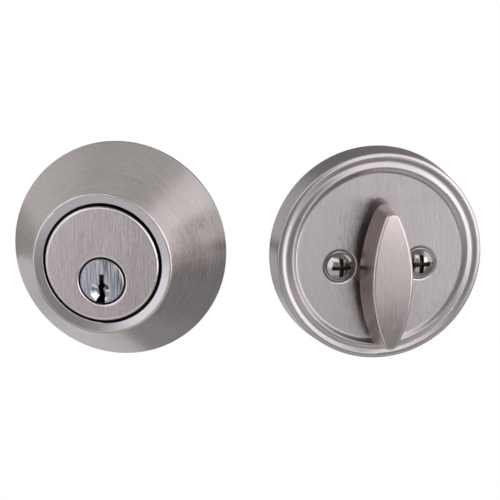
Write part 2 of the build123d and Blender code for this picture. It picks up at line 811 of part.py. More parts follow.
# Latch case: stamped channel round the hub, open on top where the fork swings
case_rear = (fork_reach + fork_half_width) * math.cos(half_swing) + open_clearance + case_wall
case_length = case_rear - case_front
with BuildPart() as latch_case:
    with BuildSketch(latch_section(case_rear)):
        Rectangle(2 * case_half_width, 2 * case_half_height)
    extrude(amount=case_length)
    with BuildSketch(latch_section(case_rear - case_wall)):
        with Locations((0, case_wall)):
            Rectangle(2 * (case_half_width - case_wall), 2 * case_half_height)
    extrude(amount=case_length - 2 * case_wall, mode=Mode.SUBTRACT)
    with BuildSketch(latch_section(case_front + case_wall)):
        Circle(tube_outer_radius)
    extrude(amount=case_wall)
    with BuildSketch(latch_section(case_front + case_wall)):
        with Locations((0, crank_height - trim_offset)):
            Rectangle(2 * (case_half_width - case_wall), 2 * (link_half_height + open_clearance))
    extrude(amount=case_wall, mode=Mode.SUBTRACT)
    with BuildSketch(latch.offset(-case_half_width)):
        Circle(hub_radius + running_clearance)
    extrude(amount=2 * case_half_width, mode=Mode.SUBTRACT)
latch_case.part.label = "latch_case"
export_step(latch_case.part, "parts/latch_case.step")

# Latch tube: sleeve in the door's edge bore that guides the bolt
with BuildPart() as latch_tube:
    with BuildSketch(latch_section(case_front)):
        Circle(tube_outer_radius)
        Circle(tube_inner_radius, mode=Mode.SUBTRACT)
    extrude(amount=case_front - plate_back)
latch_tube.part.label = "latch_tube"
export_step(latch_tube.part, "parts/latch_tube.step")

# Latch plate, welded to the tube's front end, and the finished faceplate that shows in the door's edge
plate_screw_places = [(0, plate_screw_spacing / 2), (0, -plate_screw_spacing / 2)]
plate_fronts = {"latch_plate": -backset + plate_thickness, "faceplate": -backset}
for plate_name, plate_front in plate_fronts.items():
    with BuildPart() as edge_plate:
        with BuildSketch(latch_section(plate_front + plate_thickness)):
            RectangleRounded(plate_width, plate_height, plate_corner_radius)
        extrude(amount=plate_thickness)
        with BuildSketch(latch_section(plate_front + plate_thickness)):
            Circle(bolt_radius + open_clearance)
            Rectangle(bolt_width + 2 * open_clearance, plate_height, mode=Mode.INTERSECT)
        extrude(amount=plate_thickness, mode=Mode.SUBTRACT)
        with Locations(latch_section(plate_front)):
            with Locations(*plate_screw_places):
                if plate_name == "faceplate":
                    CounterSinkHole(plate_screw_radius, plate_screw_head_radius)
                else:
                    Hole(plate_clearance_radius)
    edge_plate.part.label = plate_name
    export_step(edge_plate.part, f"parts/{plate_name}.step")
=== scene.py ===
"""Finish and studio for the deadbolt door lock.

Lays brushed nickel, bright plating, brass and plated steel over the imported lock, cuts the threads of the
mounting screws, and sets the white studio and the camera.  Object coordinates are the lock's own frame
in metres, so every pattern stays on its piece when the piece moves.  Patterns are worked out in
millimetres.
"""

import json
import math

import bmesh
import bpy
from bpy.props import FloatProperty, FloatVectorProperty, IntProperty, PointerProperty
from mathutils import Matrix, Vector


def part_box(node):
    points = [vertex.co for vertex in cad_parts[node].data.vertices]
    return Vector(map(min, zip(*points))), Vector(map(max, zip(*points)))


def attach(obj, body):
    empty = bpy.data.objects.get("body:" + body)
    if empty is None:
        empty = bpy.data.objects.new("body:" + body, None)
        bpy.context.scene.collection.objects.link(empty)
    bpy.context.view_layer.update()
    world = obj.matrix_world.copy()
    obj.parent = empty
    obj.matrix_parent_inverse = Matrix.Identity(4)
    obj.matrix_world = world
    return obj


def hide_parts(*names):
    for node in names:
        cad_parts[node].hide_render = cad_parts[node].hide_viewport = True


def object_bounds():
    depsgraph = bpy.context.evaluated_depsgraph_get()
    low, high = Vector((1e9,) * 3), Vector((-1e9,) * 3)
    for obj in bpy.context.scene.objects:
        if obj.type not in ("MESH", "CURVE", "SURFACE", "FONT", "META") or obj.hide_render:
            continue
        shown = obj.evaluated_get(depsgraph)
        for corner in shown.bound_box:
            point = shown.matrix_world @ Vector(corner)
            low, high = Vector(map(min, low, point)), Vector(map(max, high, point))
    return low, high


bl_info = {
    "name": "Deadbolt lock finish",
    "version": (1, 0, 0),
    "blender": (4, 5, 0),
    "location": "3D View > Sidebar > Deadbolt",
    "description": "Metal finishes, screw threads and a white studio for the deadbolt door lock",
    "category": "Object",
}

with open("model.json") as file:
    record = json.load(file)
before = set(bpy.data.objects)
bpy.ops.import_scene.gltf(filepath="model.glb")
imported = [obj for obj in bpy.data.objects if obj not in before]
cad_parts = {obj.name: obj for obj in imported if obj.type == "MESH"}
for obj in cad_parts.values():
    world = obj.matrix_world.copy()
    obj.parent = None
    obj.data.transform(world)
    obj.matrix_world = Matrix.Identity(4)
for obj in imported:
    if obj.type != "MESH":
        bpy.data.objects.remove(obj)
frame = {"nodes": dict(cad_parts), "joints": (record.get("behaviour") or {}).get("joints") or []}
cad_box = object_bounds()

MM = 0.001
WHITE = (1.0, 1.0, 1.0, 1.0)
FLOOR_GREY = (0.95, 0.95, 0.95, 1.0)
FLOOR_GLOW = 0.95
FLOOR_REACH = 15.0
SENSOR_WIDTH = 36.0
NEAREST_SEEN = 0.01

# Hairlines and bundles of them in a millimetre across the grain
COARSE_LINES = {"fine": 3.4, "bundle": 1.2}
FINE_LINES = {"fine": 9.0, "bundle": 2.5}

# Studio panels: sides and ends in degrees round the lock, and the distance from it
PANEL_STEPS = (12, 8)
FAR, NEAR = 1.4, 0.5
PANELS = {
    "camera_panel": ((-24.0, 20.0), (-20.0, 32.0), FAR),
    "front_right": ((20.0, 60.0), (0.0, 30.0), FAR),
    "front_top": ((-90.0, 60.0), (30.0, 50.0), FAR),
    "right_side": ((80.0, 140.0), (-13.0, 50.0), FAR),
    "left_side": ((-100.0, -80.0), (-13.0, 30.0), FAR),
    "left_dark": ((-80.0, -60.0), (-13.0, 30.0), FAR),
    "left_back": ((-140.0, -100.0), (0.0, 50.0), FAR),
    "left_back_low": ((-140.0, -100.0), (-25.0, 0.0), NEAR),
    "back_high": ((140.0, 220.0), (0.0, 50.0), FAR),
    "back_low": ((140.0, 220.0), (-25.0, 0.0), NEAR),
    "top_back": ((90.0, 270.0), (50.0, 90.0), FAR),
    "top_front": ((-90.0, 90.0), (50.0, 90.0), FAR),
    "ground_left_back": ((-165.0, -120.0), (-60.0, -25.0), NEAR),
    "ground_left": ((-120.0, -60.0), (-60.0, -25.0), NEAR),
    "ground_front": ((-60.0, 20.0), (-60.0, -25.0), NEAR),
    "ground_turn": ((20.0, 60.0), (-44.0, -19.0), NEAR),
    "ground_right": ((80.0, 195.0), (-60.0, -13.0), NEAR),
    "ground": ((-180.0, 180.0), (-90.0, -60.0), NEAR),
}

# Lamps, a metre away: direction in degrees, then width and height
LAMPS = {
    "right_lamp": ((70.0, 3.0), (0.35, 0.95)),
    "left_lamp": ((-40.0, 8.0), (0.7, 0.75)),
}


def joint_named(name):
    """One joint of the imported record."""
    return next(joint for joint in frame["joints"] if joint["name"] == name)


def trim_frame(node_name, joint, turn):
    """Centre of a round trim at the door's face, and its turn about the upright."""
    low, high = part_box(node_name)
    place = Vector(joint["pos_m"])
    place.z = (low.z + high.z) / 2
    return place, turn


inward = joint_named("thumbturn_turn")["axis"]
OUTSIDE = trim_frame("collar", joint_named("plug_turn"), 0.0)
PLUG = (Vector(joint_named("plug_turn")["pos_m"]), 0.0)
INSIDE = trim_frame("rose", joint_named("thumbturn_turn"), math.atan2(-inward[0], inward[1]))
LATCH = (Vector(joint_named("cam_turn")["pos_m"]), 0.0)
WHOLE = (Vector((0.0, 0.0, 0.0)), 0.0)


def metal_colour(name, description, colour):
    """A colour property of one metal."""
    return FloatVectorProperty(
        name=name, description=description, subtype="COLOR", size=3, min=0.0, max=1.0, default=colour,
    )


def length(name, description, metres):
    """A length property, in metres."""
    return FloatProperty(name=name, description=description, unit="LENGTH", precision=5, default=metres)


def brightness(name, description, level):
    """A property for how bright a panel or a lamp looks, where 1 is white."""
    return FloatProperty(name=name, description=description, min=0.0, default=level)


class LockFinishes(bpy.types.PropertyGroup):
    """Colours of the lock's metals and the depth of their brushing."""

    nickel: metal_colour("Satin nickel", "Brushed collar and faceplate", (0.44, 0.4, 0.397))
    ring_nickel: metal_colour("Ring nickel", "Polished front ring of the collar", (0.43, 0.405, 0.438))
    face_nickel: metal_colour("Face nickel", "Upright-brushed cylinder face", (0.54, 0.484, 0.495))
    rose_nickel: metal_colour("Rose nickel", "Brushed rose", (0.44, 0.404, 0.415))
    turn_nickel: metal_colour("Thumbturn nickel", "Brushed front of the thumbturn", (0.455, 0.405, 0.4))
    # The sides are warmer and darker than the front: a warm tint and painted shade
    turn_side_tint_and_painted_shade: metal_colour("Thumbturn side", "Warmer sides of the thumbturn", (0.39, 0.33, 0.3))
    chrome: metal_colour("Bright plating", "Key plug", (0.65, 0.65, 0.73))
    screw: metal_colour("Screw plating", "Mounting screws", (0.375, 0.353, 0.344))
    brass: metal_colour("Brass", "Pins, their cover and the cylinder behind its face", (0.5, 0.33, 0.14))
    keyway: metal_colour("Keyway", "Stained brass of the keyway and the plug's sides", (0.36, 0.28, 0.19))
    plated: metal_colour(
        "Zinc plating", "Stamped steel behind the trims and in the latch", (0.45, 0.45, 0.455),
    )
    cast: metal_colour("Cast zinc", "Plug cap, cam hub and the trims' hollow sides", (0.33, 0.325, 0.31))
    spring: metal_colour("Spring steel", "Pin springs, clip and washer", (0.3, 0.3, 0.31))
    bolt: metal_colour("Bolt steel", "Satin-plated bolt", (0.44, 0.42, 0.4))
    hard: metal_colour("Hardened steel", "Roller and link pins", (0.16, 0.16, 0.17))
    hairline_depth: length("Hairline depth", "Depth of the brushed hairlines", 0.00002)


class LockEdges(bpy.types.PropertyGroup):
    """Radii and heights where one finish gives way to another."""

    ring_outer: length("Ring edge", "Radius where the collar's taper meets its front ring", 0.0199)
    # The darkness inside the bore is painted shade on the collar
    ring_inner: length("Collar bore", "Radius of the collar's bore, dark inside", 0.0172)
    collar_front: length("Collar front", "Height of the collar's front above the door", 0.02125)
    head_edge: length("Head edge", "Radius of the cylinder's face", 0.0166)
    face_height: length("Face height", "Height of the cylinder's face above the door", 0.02135)
    seat_height: length("Seat height", "Height below which the cylinder is bare brass", 0.0179)
    plug_edge: length("Plug edge", "Radius of the key plug", 0.00635)
    # The darkness of the gap round the plug is painted shade on the cylinder
    plug_gap: length("Plug gap", "Radius of the dark gap round the plug", 0.0067)
    funnel: length("Funnel", "Radius of the plug's funnel round the keyway", 0.00285)
    funnel_depth: length("Funnel depth", "Depth of the plug's funnel", 0.0009)
    plate_edge: length("Plate edge", "Radius of the rose's upright-brushed plate", 0.0246)
    plate_back: length("Plate back", "Height of the back of the rose's plate", 0.00645)
    turn_front: length("Thumbturn front", "Height of the front edge of the thumbturn", 0.0212)
    screw_offset: length("Screw offset", "Half the spacing of the mounting screws", 0.0119)
    screw_drop: length("Screw drop", "Mounting screws below the rose's centre", 0.0025)
    screw_crown: length("Screw crown", "Height of the top of the screw heads", 0.01045)
    recess_reach: length("Recess reach", "Radius of the screws' cross recess", 0.00275)


class LockThreads(bpy.types.PropertyGroup):
    """Thread of the two mounting screws."""

    pitch: length("Pitch", "Advance of the thread in one turn", 0.0009)
    depth: length("Depth", "Depth of the thread's groove", 0.0005)
    radius: length("Radius", "Outside radius of the thread", 0.0024)
    bare: length("Bare shank", "Length of the shank without thread under the head", 0.012)
    under_head: length("Under head", "Cut under the screw's head where the threaded shank starts", 0.0074)
    sides: IntProperty(name="Sides", description="Steps round one turn of the thread", min=8, default=24)
    steps: IntProperty(name="Steps", description="Steps along one pitch of the thread", min=4, default=6)


class LockStudio(bpy.types.PropertyGroup):
    """Camera, floor and the levels of the studio's panels and lamps."""

    aim: FloatVectorProperty(
        name="Aim", description="Point that the camera looks at", subtype="XYZ", unit="LENGTH",
        precision=5, default=(0.03877, 0.0, 0.00592),
    )
    distance: length("Distance", "Camera to aim", 0.5)
    azimuth: FloatProperty(
        name="Azimuth", description="Camera round the upright, to the right of straight ahead",
        subtype="ANGLE", default=math.radians(10.21),
    )
    elevation: FloatProperty(
        name="Elevation", description="Camera above the horizon",
        subtype="ANGLE", default=math.radians(12.65),
    )
    lens: FloatProperty(
        name="Lens", description="Focal length on a 36 mm sensor, in millimetres",
        unit="CAMERA", default=124.21,
    )
    floor_drop: length("Floor drop", "Floor below the lock's lowest point", 0.5)
    right_lamp: brightness("Right lamp", "Tall narrow lamp on the right, over the white behind it", 2.2)
    left_lamp: brightness("Left lamp", "Broad lamp left of the camera, over the white behind it", 0.8)
    camera_panel: brightness("Camera panel", "Dark panel round the camera", 0.37)
    front_right: brightness("Front right panel", "Bright panel from the camera to the right lamp", 2.1)
    front_top: brightness("Front top panel", "Bright panel above the camera", 1.9)
    right_side: brightness("Right side panel", "Bright panel on the right", 1.25)
    left_side: brightness("Left side panel", "Bright panel on the left", 1.6)
    left_dark: brightness("Left strip", "Grey strip between the left lamp and the left side", 0.55)
    left_back: brightness("Left back panel", "Grey panel on the left behind", 0.78)
    left_back_low: brightness("Low left back panel", "Pale grey panel on the left, low behind", 0.85)
    back_high: brightness("Back panel", "Dark panel behind", 0.27)
    back_low: brightness("Low back panel", "Grey panel behind, below the lock", 0.5)
    top_back: brightness("Top back panel", "Grey panel overhead, behind", 0.76)
    top_front: brightness("Top front panel", "Dark panel overhead, in front", 0.3)
    ground_left_back: brightness("Ground left back", "Pale grey panel low on the left behind", 0.88)
    ground_left: brightness("Ground left", "Dark panel low on the left", 0.1)
    ground_front: brightness("Ground front", "Pale panel low in front", 0.95)
    ground_turn: brightness("Ground front right", "Dark panel low in front on the right", 0.36)
    ground_right: brightness("Ground right", "Dark panel low on the right", 0.32)
    ground: brightness("Ground", "Grey panel straight below", 0.5)


class Signal:
    """A shader socket that takes part in Python arithmetic."""

    def __init__(self, finish, socket):
        self.finish = finish
        self.socket = socket

    def math(self, operation, *values):
        """Math node on these values."""
        return self.finish.node("ShaderNodeMath", {"operation": operation}, dict(enumerate(values)))

    def __add__(self, other):
        return self.math("ADD", self, other)

    def __radd__(self, other):
        return self.math("ADD", other, self)

    def __sub__(self, other):
        return self.math("SUBTRACT", self, other)

    def __rsub__(self, other):
        return self.math("SUBTRACT", other, self)

    def __mul__(self, other):
        return self.math("MULTIPLY", self, other)

    def __rmul__(self, other):
        return self.math("MULTIPLY", other, self)

    def __truediv__(self, other):
        return self.math("DIVIDE", self, other)

    def __rtruediv__(self, other):
        return self.math("DIVIDE", other, self)

    def __pow__(self, other):
        return self.math("POWER", self, other)

    def __rpow__(self, other):
        return self.math("POWER", other, self)

    def __abs__(self):
        return self.math("ABSOLUTE", self)

    def larger(self, other):
        """The larger of this and another value."""
        return self.math("MAXIMUM", self, other)

    def between(self, first, second):
        """The first number where this is 0, the second where it is 1."""
        return first + (second - first) * self

    def rise(self, low, high):
        """0 below low, 1 above high, smooth between."""
        settings = {"interpolation_type": "SMOOTHSTEP"}
        sockets = {"Value": self, "From Min": low, "From Max": high}
        return self.finish.node("ShaderNodeMapRange", settings, sockets)


class Finish:
    """One material's node tree while it is written."""

    library = "materials"
    output = "ShaderNodeOutputMaterial"

    def __init__(self, name):
        self.material = getattr(bpy.data, self.library).new(name)
        self.material.use_nodes = True
        self.tree = self.material.node_tree
        self.tree.nodes.clear()

    def node(self, kind, settings=None, sockets=None, output=0):
        """Add a node: its settings first, then the values or links of its sockets."""
        made = self.tree.nodes.new(kind)
        for key, value in (settings or {}).items():
            setattr(made, key, value)
        for key, value in (sockets or {}).items():
            if isinstance(value, Signal):
                self.tree.links.new(value.socket, made.inputs[key])
            else:
                made.inputs[key].default_value = value
        return Signal(self, made.outputs[output])

    def local(self, place, turn):
        """Right, back and up from a place, in millimetres, in a frame turned about the upright."""
        point = self.node("ShaderNodeTexCoord", output="Object")
        sockets = {
            "Vector": point, "Location": place, "Rotation": (0.0, 0.0, turn), "Scale": (MM, MM, MM),
        }
        return self.node("ShaderNodeMapping", {"vector_type": "TEXTURE"}, sockets)

    def axes(self, vector):
        """The three parts of a vector."""
        split = self.node("ShaderNodeSeparateXYZ", sockets={"Vector": vector}).socket.node
        return [Signal(self, socket) for socket in split.outputs]

    def vector(self, *parts):
        """A vector from three parts."""
        return self.node("ShaderNodeCombineXYZ", sockets=dict(enumerate(parts)))

    def noise(self, point, scale=1.0, detail=2.0, roughness=0.5):
        """Soft noise about 0, within one half either way."""
        sockets = {"Vector": point, "Scale": scale, "Detail": detail, "Roughness": roughness}
        return self.node("ShaderNodeTexNoise", {"noise_dimensions": "3D"}, sockets) - 0.5

    def toned(self, colour, tone):
        """A colour made lighter or darker."""
        sockets = {"Vector": colour, "Scale": tone}
        return self.node("ShaderNodeVectorMath", {"operation": "SCALE"}, sockets)

    def mixed(self, share, first, second):
        """Two colours mixed, each a property's colour or a link."""
        ends = [colour if isinstance(colour, Signal) else (*colour, 1.0) for colour in (first, second)]
        # Sockets 6 and 7 are the colours, after those for plain values and vectors
        sockets = {0: share, 6: ends[0], 7: ends[1]}
        return self.node("ShaderNodeMix", {"data_type": "RGBA"}, sockets, output=2)

    def bump(self, height, depth):
        """A normal bent by a height."""
        return self.node("ShaderNodeBump", sockets={"Height": height, "Distance": depth})

    def metal(self, colour, roughness, normal):
        """Close the tree with a metal surface and return the material."""
        sockets = {"Base Color": colour, "Roughness": roughness, "Metallic": 1.0, "Normal": normal}
        self.finished(self.node("ShaderNodeBsdfPrincipled", sockets=sockets))
        return self.material

    def finished(self, surface):
        """Send a shader to the output."""
        out = self.tree.nodes.new(self.output)
        self.tree.links.new(surface.socket, out.inputs["Surface"])


class Surroundings(Finish):
    """The world's node tree while it is written."""

    library = "worlds"
    output = "ShaderNodeOutputWorld"


def wear(material, *node_names):
    """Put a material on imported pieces."""
    for node_name in node_names:
        slots = frame["nodes"][node_name].data.materials
        slots.clear()
        slots.append(material)


def distance_from(right, up):
    """Distance from an axis, from the two distances across it, and never quite zero."""
    least = 0.0001
    return (right * right + up * up + least) ** 0.5


def turned_grain(right, back, up, radius, around=6.0, lean=0.8):
    """Coordinates of circular brushing about an axis: across the hairlines, then along them."""
    return radius + lean * back, right / radius * around, up / radius * around


def straight_grain(across, along, depth, lean=0.35, stretch=0.16):
    """Coordinates of straight brushing: across the hairlines, then along them."""
    return across + lean * depth, along * stretch, depth * stretch


class Brushing:
    """Hairlines, their bundles and a slow cloud along a grain."""

    def __init__(self, finish, grain, fine, bundle):
        across, first, second = grain
        bundle_stretch, cloud_width, cloud_stretch = 0.5, 0.1, 0.3
        lines = finish.vector(across * fine, first, second)
        bundles = finish.vector(across * bundle, first * bundle_stretch, second * bundle_stretch)
        clouds = finish.vector(across * cloud_width, first * cloud_stretch, second * cloud_stretch)
        self.hairline = finish.noise(lines, detail=2.0, roughness=0.6)
        self.streak = finish.noise(bundles, detail=1.0)
        self.cloud = finish.noise(clouds, detail=1.0)

    def blended(self, other, share):
        """This brushing where share is 0, the other where it is 1."""
        for part in ("hairline", "streak", "cloud"):
            own = getattr(self, part)
            setattr(self, part, own + share * (getattr(other, part) - own))
        return self


def satin(finish, colour, brushing, depth, shade=1.0, roughness=0.28, strength=1.0):
    """Close a brushed tree: the hairlines shade the colour, the gloss and the surface."""
    line_tone, streak_tone, cloud_tone = 0.14, 0.08, 0.14
    line_gloss, streak_gloss, streak_height = 0.1, 0.06, 0.4
    marks = line_tone * brushing.hairline + streak_tone * brushing.streak
    tone = shade * (1.0 + strength * marks + cloud_tone * brushing.cloud)
    gloss = roughness + strength * (line_gloss * brushing.hairline + streak_gloss * brushing.streak)
    height = strength * (brushing.hairline + streak_height * brushing.streak)
    return finish.metal(finish.toned(colour, tone), gloss, finish.bump(height, depth))


class DressCollar(bpy.types.Operator):
    """Brush the tapered collar in circles, with a brighter ring, painted shade in the bore and a bare
    hollow side
    """

    bl_idname = "deadbolt.collar"
    bl_label = "Collar"

    def execute(self, context):
        looks, edges = context.scene.lock_finishes, context.scene.lock_edges
        finish = Finish("collar_nickel")
        right, back, up = finish.axes(finish.local(*OUTSIDE))
        radius = distance_from(right, up)
        depth = back + edges.collar_front / MM
        ring_outer, ring_inner = edges.ring_outer / MM, edges.ring_inner / MM
        taper_slope = 0.575
        shell_inside = (ring_outer - 2.2, ring_outer - 1.6)
        bore_wall = (ring_inner + 0.05, ring_inner + 0.3)
        bore_depth = (2.0, 3.0)
        ring_edge = (ring_outer - 0.5, ring_outer)
        ring_back = (1.2, 1.8)
        bare_depth = (1.6, 2.0)
        hollow = 1.0 - (radius - taper_slope * depth).rise(*shell_inside)
        bore = depth.rise(*bore_depth) * hollow * (1.0 - radius.rise(*bore_wall))
        ring = (1.0 - radius.rise(*ring_edge)) * (1.0 - depth.rise(*ring_back))
        bare = hollow * depth.rise(*bare_depth)
        plated = finish.mixed(ring, looks.nickel, looks.ring_nickel)
        colour = finish.mixed(bare, plated, looks.cast)
        circles = turned_grain(right, back, up, radius, around=4.0)
        brushing = Brushing(finish, circles, fine=3.0, bundle=COARSE_LINES["bundle"])
        scratches = self.scratches(finish, right, back, up, radius) * (1.0 - ring)
        # The bore is painted near black: painted shade in the bore
        shade = bore.between(1.0, 0.07) * scratches.between(1.0, 1.2)
        gloss = ring.between(0.3, 0.28)
        strength = ring.between(2.8, 0.5)
        wear(satin(finish, colour, brushing, looks.hairline_depth, shade, gloss, strength), "collar")
        return {"FINISHED"}

    def scratches(self, finish, right, back, up, radius):
        """Light scratches that cross the circular brushing at a slant."""
        slant, lines, threshold = 0.6, 2.4, (0.1, 0.24)
        across, first, second = turned_grain(
            right + slant * up, back, up - slant * right, radius, around=9.0, lean=1.3,
        )
        return finish.noise(finish.vector(across * lines, first, second), detail=2.0).rise(*threshold)


class DressCylinder(bpy.types.Operator):
    """Brush the cylinder's face upright, and leave its barrel bare brass"""

    bl_idname = "deadbolt.cylinder"
    bl_label = "Key cylinder"

    def execute(self, context):
        looks, edges = context.scene.lock_finishes, context.scene.lock_edges
        finish = Finish("cylinder_nickel")
        right, back, up = finish.axes(finish.local(*OUTSIDE))
        plug_right, _, plug_up = finish.axes(finish.local(*PLUG))
        depth = back + edges.face_height / MM
        head_edge, plug_gap = edges.head_edge / MM, edges.plug_gap / MM
        head_side = (head_edge - 0.25, head_edge - 0.05)
        plug_rim = (plug_gap + 0.02, plug_gap + 0.1)
        below_face = (0.2, 0.5)
        seat = (-edges.seat_height / MM, 0.3 - edges.seat_height / MM)
        side = distance_from(right, up).rise(*head_side)
        rim = 1.0 - distance_from(plug_right, plug_up).rise(*plug_rim)
        # The head's side in the gap and the rim round the plug are painted near black: painted shade in
        # the gaps
        dark = side.larger(rim) * depth.rise(*below_face)
        barrel = back.rise(*seat)
        colour = finish.mixed(barrel, looks.face_nickel, looks.brass)
        brushing = Brushing(finish, straight_grain(right, up, back), **FINE_LINES)
        shade = (dark * (1.0 - barrel)).between(1.0, 0.05)
        groove = looks.hairline_depth * 2.0
        material = satin(finish, colour, brushing, groove, shade, roughness=0.22, strength=0.7)
        wear(material, "cylinder_body")
        return {"FINISHED"}


class DressPlug(bpy.types.Operator):
    """Plate the key plug over its brass, with upright streaks and a painted dark reflection, and turn its
    brass pins
    """

    bl_idname = "deadbolt.plug"
    bl_label = "Key plug"

    def execute(self, context):
        looks, edges = context.scene.lock_finishes, context.scene.lock_edges
        self.plug(looks, edges)
        self.pins(looks)
        return {"FINISHED"}

    def plug(self, looks, edges):
        """Bright streaked plating on the face and funnel, with a painted dark reflection and painted
        shade, brass in the keyway and on the sides.
        """
        finish = Finish("plug_plating")
        right, back, up = finish.axes(finish.local(*PLUG))
        depth = back + edges.face_height / MM
        radius = distance_from(right, up)
        funnel_radius, funnel_depth = edges.funnel / MM, edges.funnel_depth / MM
        plug_edge = edges.plug_edge / MM
        funnel_left, funnel_drop = 0.45, 3.0
        funnel_edge = (funnel_radius, funnel_radius + 0.1)
        funnel_floor = (funnel_depth + 0.05, funnel_depth + 0.2)
        cut_edge = (plug_edge - 0.6, plug_edge - 0.5)
        cut_depth = (0.06, 0.14)
        chamfer_edge = (plug_edge - 0.3, plug_edge - 0.2)
        chamfer_depth = (0.2, 0.3)
        face_depth = (0.03, 0.08)
        funnel = 1.0 - distance_from(right + funnel_left, up + funnel_drop).rise(*funnel_edge)
        cut = depth.rise(*cut_depth) * (1.0 - funnel) * (1.0 - radius.rise(*cut_edge))
        keyway = cut.larger(depth.rise(*funnel_floor))
        chamfer = radius.rise(*chamfer_edge) * (1.0 - depth.rise(*chamfer_depth))
        polished = depth.rise(*face_depth).larger(chamfer)
        brushing = Brushing(finish, straight_grain(right, up, back, stretch=0.2), fine=3.2, bundle=1.6)
        # The face is darker towards the upper right: a painted dark reflection
        rightward, upward = 0.8, 0.6
        dark_reflection_side, band_edge = (0.5, 4.0), (-0.16, 0.16)
        painted_dark_reflection = (right * rightward + up * upward).rise(*dark_reflection_side)
        band = (brushing.streak + 0.6 * brushing.hairline).rise(*band_edge)
        streaks_and_dark_reflection = band.between(0.9, 1.14) - painted_dark_reflection * (1.0 - band) * 0.5
        # The funnel and the chamfer are toned darker than the brushed face: painted shade
        polished_painted_shade = 0.78
        plain = streaks_and_dark_reflection + polished * (polished_painted_shade - streaks_and_dark_reflection)
        # The keyway is painted darker, painted shade in the slot, and the chamfer too, painted shade over
        # its highlight
        shade = plain * keyway.between(1.0, 0.55) * chamfer.between(1.0, 0.7)
        colour = finish.mixed(keyway, looks.chrome, looks.keyway)
        gloss = 0.16 + 0.06 * band - 0.08 * polished + 0.24 * (keyway + chamfer)
        height = (brushing.streak + 0.7 * brushing.hairline) * (1.0 - polished)
        normal = finish.bump(height, looks.hairline_depth * 0.5)
        wear(finish.metal(finish.toned(colour, shade), gloss, normal), "plug")

    def pins(self, looks):
        """Turned and slightly stained brass."""
        finish = Finish("turned_brass")
        right, back, up = finish.axes(finish.local(*PLUG))
        lines, stretch, stain_edge, darkening = 6.0, 0.4, (-0.1, 0.25), 0.62
        groove = finish.noise(finish.vector(up * lines, back * stretch, right * stretch), detail=2.0)
        stain = finish.noise(finish.vector(right, back, up), scale=0.5, detail=2.0)
        tarnish = [darkening * part for part in looks.brass]
        colour = finish.mixed(stain.rise(*stain_edge), looks.brass, tarnish)
        normal = finish.bump(groove, looks.hairline_depth * 0.6)
        wear(finish.metal(colour, 0.28 + 0.3 * stain, normal), "key_pins", "driver_pins", "pin_cover")


class DressRose(bpy.types.Operator):
    """Brush the rose's rim in circles and its plate upright, and leave its hollow side bare"""

    bl_idname = "deadbolt.rose"
    bl_label = "Rose"

    def execute(self, context):
        looks, edges = context.scene.lock_finishes, context.scene.lock_edges
        finish = Finish("rose_nickel")
        right, back, up = finish.axes(finish.local(*INSIDE))
        radius = distance_from(right, up)
        plate_edge, plate_back = edges.plate_edge / MM, edges.plate_back / MM
        rim_edge = (plate_edge - 0.3, plate_edge + 0.3)
        hollow_depth = (-plate_back - 0.3, -plate_back)
        hollow_wall = (29.0, 29.6)
        rim = radius.rise(*rim_edge)
        hollow = back.rise(*hollow_depth) * (1.0 - radius.rise(*hollow_wall))
        circles = Brushing(finish, turned_grain(right, back, up, radius), **COARSE_LINES)
        brushing = Brushing(finish, straight_grain(right, up, back), **FINE_LINES).blended(circles, rim)
        colour = finish.mixed(hollow, looks.rose_nickel, looks.cast)
        groove = looks.hairline_depth * 1.5
        # The rim is painted darker than the plate: painted shade
        shade = rim.between(1.0, 0.85)
        gloss = rim.between(0.2, 0.28)
        strength = rim.between(1.0, 0.1)
        wear(satin(finish, colour, brushing, groove, shade, gloss, strength), "rose")
        return {"FINISHED"}


class DressThumbturn(bpy.types.Operator):
    """Brush the thumbturn along its length, its sides warmer and painted darker as painted shade"""

    bl_idname = "deadbolt.thumbturn"
    bl_label = "Thumbturn"

    def execute(self, context):
        looks, edges = context.scene.lock_finishes, context.scene.lock_edges
        finish = Finish("thumbturn_nickel")
        right, back, up = finish.axes(finish.local(*INSIDE))
        turn_front = edges.turn_front / MM
        front_edge = (0.4 - turn_front, 1.2 - turn_front)
        colour = finish.mixed(back.rise(*front_edge), looks.turn_nickel, looks.turn_side_tint_and_painted_shade)
        brushing = Brushing(finish, straight_grain(right, up, back), **FINE_LINES)
        groove = looks.hairline_depth * 1.4
        wear(satin(finish, colour, brushing, groove, roughness=0.24), "thumbturn")
        return {"FINISHED"}


def plated_steel(name, colour, depth):
    """Zinc-plated sheet: spangled, slightly clouded, with faint rolling lines."""
    lines, stretch, cloud_edge = 5.0, 0.3, (-0.5, 0.5)
    finish = Finish(name)
    point = finish.local(*WHOLE)
    right, back, up = finish.axes(point)
    cells = {"Vector": point, "Scale": 0.55}
    spangle = finish.node("ShaderNodeTexVoronoi", {"feature": "F1"}, cells, output="Color")
    facet = finish.axes(spangle)[0] - 0.5
    cloud = finish.noise(point, scale=0.09, detail=3.0)
    rolled = finish.noise(finish.vector(right * stretch, back * lines, up * lines), detail=2.0)
    yellowed = (colour[0], colour[1] * 0.955, colour[2] * 0.88)
    warm = finish.mixed((cloud * 3.0).rise(*cloud_edge), colour, yellowed)
    tone = 1.0 + 0.14 * facet + 0.2 * cloud + 0.12 * rolled
    gloss = 0.36 + 0.1 * facet + 0.14 * rolled
    return finish.metal(finish.toned(warm, tone), gloss, finish.bump(rolled + 0.3 * facet, depth))


def cast_alloy(name, colour, depth):
    """Die-cast alloy: fine grain, dull, with flow marks."""
    finish = Finish(name)
    point = finish.local(*WHOLE)
    grain = finish.noise(point, scale=3.0, detail=4.0, roughness=0.65)
    flow = finish.noise(point, scale=0.35, detail=2.0)
    tone = 1.0 + 0.35 * flow + 0.25 * grain
    gloss = 0.46 + 0.25 * grain
    return finish.metal(finish.toned(colour, tone), gloss, finish.bump(grain + flow, depth))


